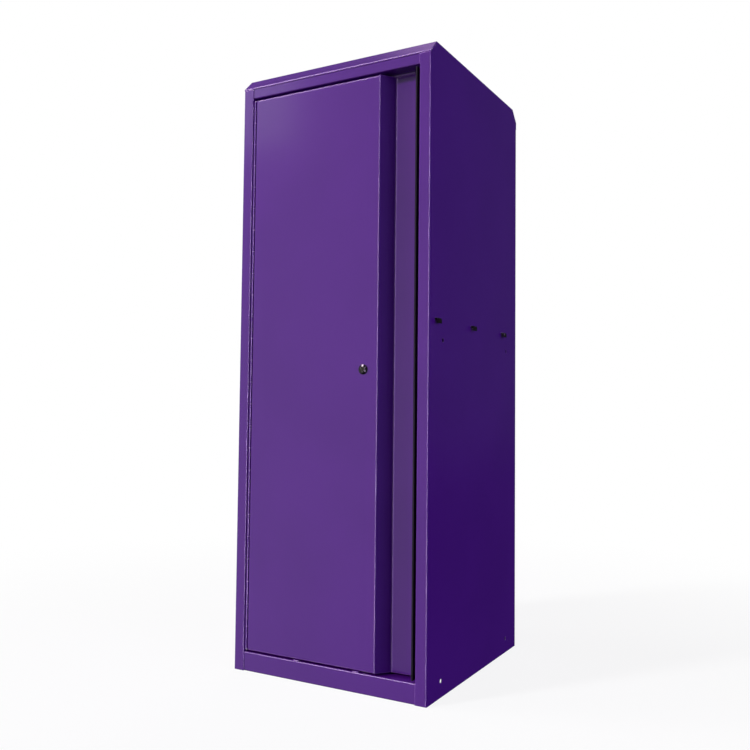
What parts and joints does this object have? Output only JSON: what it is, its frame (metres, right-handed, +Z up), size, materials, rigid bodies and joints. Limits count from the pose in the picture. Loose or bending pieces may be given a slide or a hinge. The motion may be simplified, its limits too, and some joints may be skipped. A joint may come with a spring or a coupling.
{
  "type": "locker cabinet",
  "caption": "Tall sheet-steel locker cabinet with a full-height hinged door, a finger recess along its free edge, a key lock with locking rods, shelves inside and hooks on one side.",
  "frame": {"origin": "middle of the cabinet's footprint, at floor level", "axes": "+Z up, +X to the right as seen from the front, +Y from the door to the back"},
  "size_m": [0.504, 0.53, 1.395],
  "materials": {
    "purple_paint": "semi-gloss purple powder coat",
    "galvanised_steel": "galvanised steel strip",
    "zinc_hardware": "bright zinc plating",
    "black_steel": "gloss black",
    "lock_steel": "satin nickel plating",
    "black_rubber": "satin black extruded rubber",
    "black_nylon": "moulded nylon",
    "magnet": "ground steel pole plates"
  },
  "bodies": {
    "cabinet": {"left_side_panel": "purple_paint", "right_side_panel": "purple_paint", "back_panel": "purple_paint", "top_cover": "purple_paint", "top_rail": "purple_paint", "bottom_rail": "purple_paint", "floor_pan": "purple_paint", "standard_front_left": "galvanised_steel", "standard_front_right": "galvanised_steel", "standard_rear_left": "galvanised_steel", "standard_rear_right": "galvanised_steel", "shelf_bottom": "purple_paint", "shelf_middle": "purple_paint", "shelf_top": "purple_paint", "shelf_clips": "zinc_hardware", "hinge_frame_leaf": "purple_paint", "hinge_pin": "zinc_hardware", "hinge_frame_rivets": "zinc_hardware", "side_hooks": "black_steel", "back_screws": "zinc_hardware", "door_bumpers": "black_rubber", "catch_housings": "black_nylon", "catch_magnets": "magnet", "catch_screws": "zinc_hardware", "sill_lugs": "purple_paint", "rod_receivers": "black_nylon"},
    "door": {"door_skin": "purple_paint", "door_stiffener": "purple_paint", "hinge_door_leaf": "purple_paint", "hinge_door_rivets": "zinc_hardware", "edge_trim": "black_rubber", "lock_housing": "black_steel", "lock_nut": "zinc_hardware", "rod_guides": "black_nylon"},
    "lock": {"lock_plug": "lock_steel", "cam_plate": "galvanised_steel", "drive_pins": "zinc_hardware", "cam_screw": "zinc_hardware"},
    "upper_rod": {"upper_rod": "galvanised_steel"},
    "lower_rod": {"lower_rod": "galvanised_steel"}
  },
  "joints": [
    {"name": "door_swing", "type": "hinge", "parent": "cabinet", "child": "door", "pos_m": [-0.2155, -0.2586, 0.6915], "axis": [0, 0, -1], "range_deg": [0, 110]},
    {"name": "lock_turn", "type": "hinge", "parent": "door", "child": "lock", "pos_m": [0.0898, -0.25, 0.6915], "axis": [0, -1, 0], "range_deg": [0, 90]},
    {"name": "upper_rod_slide", "type": "slide", "parent": "door", "child": "upper_rod", "axis": [0, 0, 1], "range_m": [0, 0.0212]},
    {"name": "lower_rod_slide", "type": "slide", "parent": "door", "child": "lower_rod", "axis": [0, 0, -1], "range_m": [0, 0.0213]}
  ],
  "couplings": [
    {"joint": "lock_turn", "follows": "upper_rod_slide", "rad_per_m": 74.05},
    {"joint": "lower_rod_slide", "follows": "upper_rod_slide", "ratio": 1}
  ]
}
